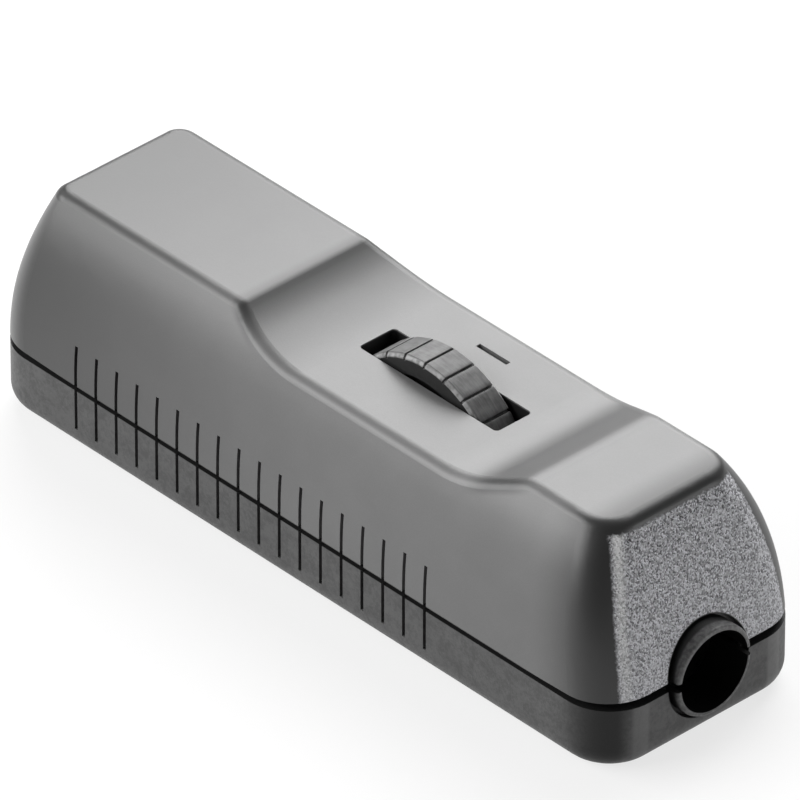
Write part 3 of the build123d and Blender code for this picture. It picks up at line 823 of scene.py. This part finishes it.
board = laminate()
epoxy = moulded("device_epoxy", grey(0.018), grey(0.032), 0.55)
steel = metal("zinc_steel", (0.5, 0.5, 0.48, 1.0), (0.68, 0.68, 0.65, 1.0), 0.28, (1.0, 1.0, 0.3))
nickel = metal("contact_nickel", (0.58, 0.55, 0.49, 1.0), (0.74, 0.71, 0.65, 1.0), 0.2, (1.0, 0.4, 1.0))
rolled = metal("rolled_aluminium", (0.68, 0.68, 0.69, 1.0), (0.8, 0.8, 0.81, 1.0), 0.3, (0.15, 3.0, 3.0))
core = moulded("core_paint", (0.62, 0.45, 0.05, 1.0), (0.76, 0.6, 0.11, 1.0), 0.4, 0.5, 0.03)
ochre = moulded("capacitor_case", (0.58, 0.36, 0.03, 1.0), (0.7, 0.47, 0.06, 1.0), 0.3)
green = moulded("terminal_plastic", (0.035, 0.13, 0.06, 1.0), (0.06, 0.19, 0.1, 1.0), 0.45)
control = moulded("control_case", (0.04, 0.05, 0.085, 1.0), (0.06, 0.07, 0.115, 1.0), 0.45)
nylon = moulded("shaft_nylon", (0.7, 0.68, 0.62, 1.0), (0.8, 0.78, 0.73, 1.0), 0.4)
clamp = moulded("clamp_plastic", grey(0.02), grey(0.035), 0.6, 0.3, 0.02)

FINISHES = {
    "circuit_board": board, "triac": epoxy, "heat_sink": rolled, "heat_sink_screw": steel,
    "housing_screws": steel, "terminal_screws": steel, "cord_clamp_screws": steel,
    "choke_core": core, "suppression_capacitor": ochre, "timing_capacitor": ochre,
    "fuse_tube": clear_glass(), "fuse_caps": nickel, "fuse_clips": nickel,
    "input_terminal": green, "output_terminal": green, "potentiometer_body": control,
    "potentiometer_shaft": nylon, "input_cord_clamp": clamp, "output_cord_clamp": clamp,
}
for name, material in FINISHES.items():
    dress(name, material)


def axial(name, body, bands):
    """Dresses a piece that lies along Y, whose leads reach out by the same length at both ends."""
    low, high = [corner[1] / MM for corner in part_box(name)]
    low, high = low + LEAD_REACH, high - LEAD_REACH
    dress(name, banded(name + "_lacquer", body, TIN, bands, low, high, (high - low) / 5))


axial("resistors", (0.52, 0.4, 0.24, 1.0), [BROWN, grey(0.01), RED, GOLD])
axial("diac", (0.08, 0.12, 0.35, 1.0), [grey(0.6)])
print("inner finishes:", len(FINISHES) + 2, "pieces dressed")

# %% [markdown]
# ## Floor
# The picture is a studio one on a white sweep. Lamps strong enough to burn the floor out would burn the
# plastic out too. So the floor's material adds its own glow wherever the camera, a reflection or a view
# through glass meets it, and under that it is a plain sheet that keeps a soft shadow. It lies a hair
# below the housing, so the two faces don't share a plane.

# %% Floor
REACH = 3.0
LEVEL = -0.02 * MM
SHEET = 0.25
GLOW = 0.74

corners = [(-REACH, -REACH, LEVEL), (REACH, -REACH, LEVEL), (REACH, REACH, LEVEL), (-REACH, REACH, LEVEL)]
floor_mesh = bpy.data.meshes.new("floor")
floor_mesh.from_pydata(corners, [], [(0, 1, 2, 3)])
floor = bpy.data.objects.new("floor", floor_mesh)
scene.collection.objects.link(floor)

paper = Finish("floor_paper", Base_Color=grey(SHEET), Roughness=1.0, Specular_IOR_Level=0.0)
seen = paper.add("ShaderNodeLightPath", out="Is Camera Ray")
for kind in ("Is Glossy Ray", "Is Transmission Ray"):
    seen = seen.at_least(paper.add("ShaderNodeLightPath", out=kind))
plain = Field(paper, paper.shader.outputs[0])
glow = paper.add("ShaderNodeEmission", {}, {"Color": grey(1.0), "Strength": GLOW})
lit = paper.add("ShaderNodeAddShader", {}, {0: plain, 1: glow})
shown = paper.add("ShaderNodeMixShader", {}, {0: seen, 1: plain, 2: lit})
paper.feed(paper.tree.nodes["Material Output"].inputs["Surface"], shown)
floor_mesh.materials.append(paper.material)
print("floor:", 2 * REACH, "m square")

# %% [markdown]
# ## Lamps
# A soft box behind and to the left is mirrored in the flat tops, a low panel at the left front lights
# the long side, another behind at the right lights the end, and a weak one fills from above. The gaps
# between them draw the dark lines along the edges. Each lamp is given by the brightness that a mirror
# would show, because that decides how light a satin face looks.

# %% Lamps
AMBIENT = 0.15

scene.world = bpy.data.worlds.new("studio")
scene.world.use_nodes = True
scene.world.node_tree.nodes["Background"].inputs["Color"].default_value = grey(AMBIENT)


def soft_box(name, azimuth, elevation, size, brightness):
    """An area lamp one metre from the object, facing it; brightness is what a mirror would show."""
    lamp = bpy.data.objects.new(name, bpy.data.lights.new(name, "AREA"))
    lamp.data.shape = "RECTANGLE"
    lamp.data.size, lamp.data.size_y = size
    lamp.data.energy = brightness * math.pi * size[0] * size[1]
    aim = direction(math.radians(azimuth), math.radians(elevation))
    lamp.location = aim
    lamp.rotation_euler = aim.to_track_quat("Z", "Y").to_euler()
    scene.collection.objects.link(lamp)


LAMPS = [
    ("back_box", 216, 38, (0.9, 0.8), 6.0),
    ("front_panel", -40, 27, (1.0, 0.45), 7.8),
    ("right_panel", 116, 3, (0.7, 0.4), 4.6),
    ("top_fill", 190, 60, (0.5, 0.5), 1.5),
]
for lamp in LAMPS:
    soft_box(*lamp)
scene.view_settings.view_transform = "Standard"
print("light:", len(LAMPS), "soft boxes")
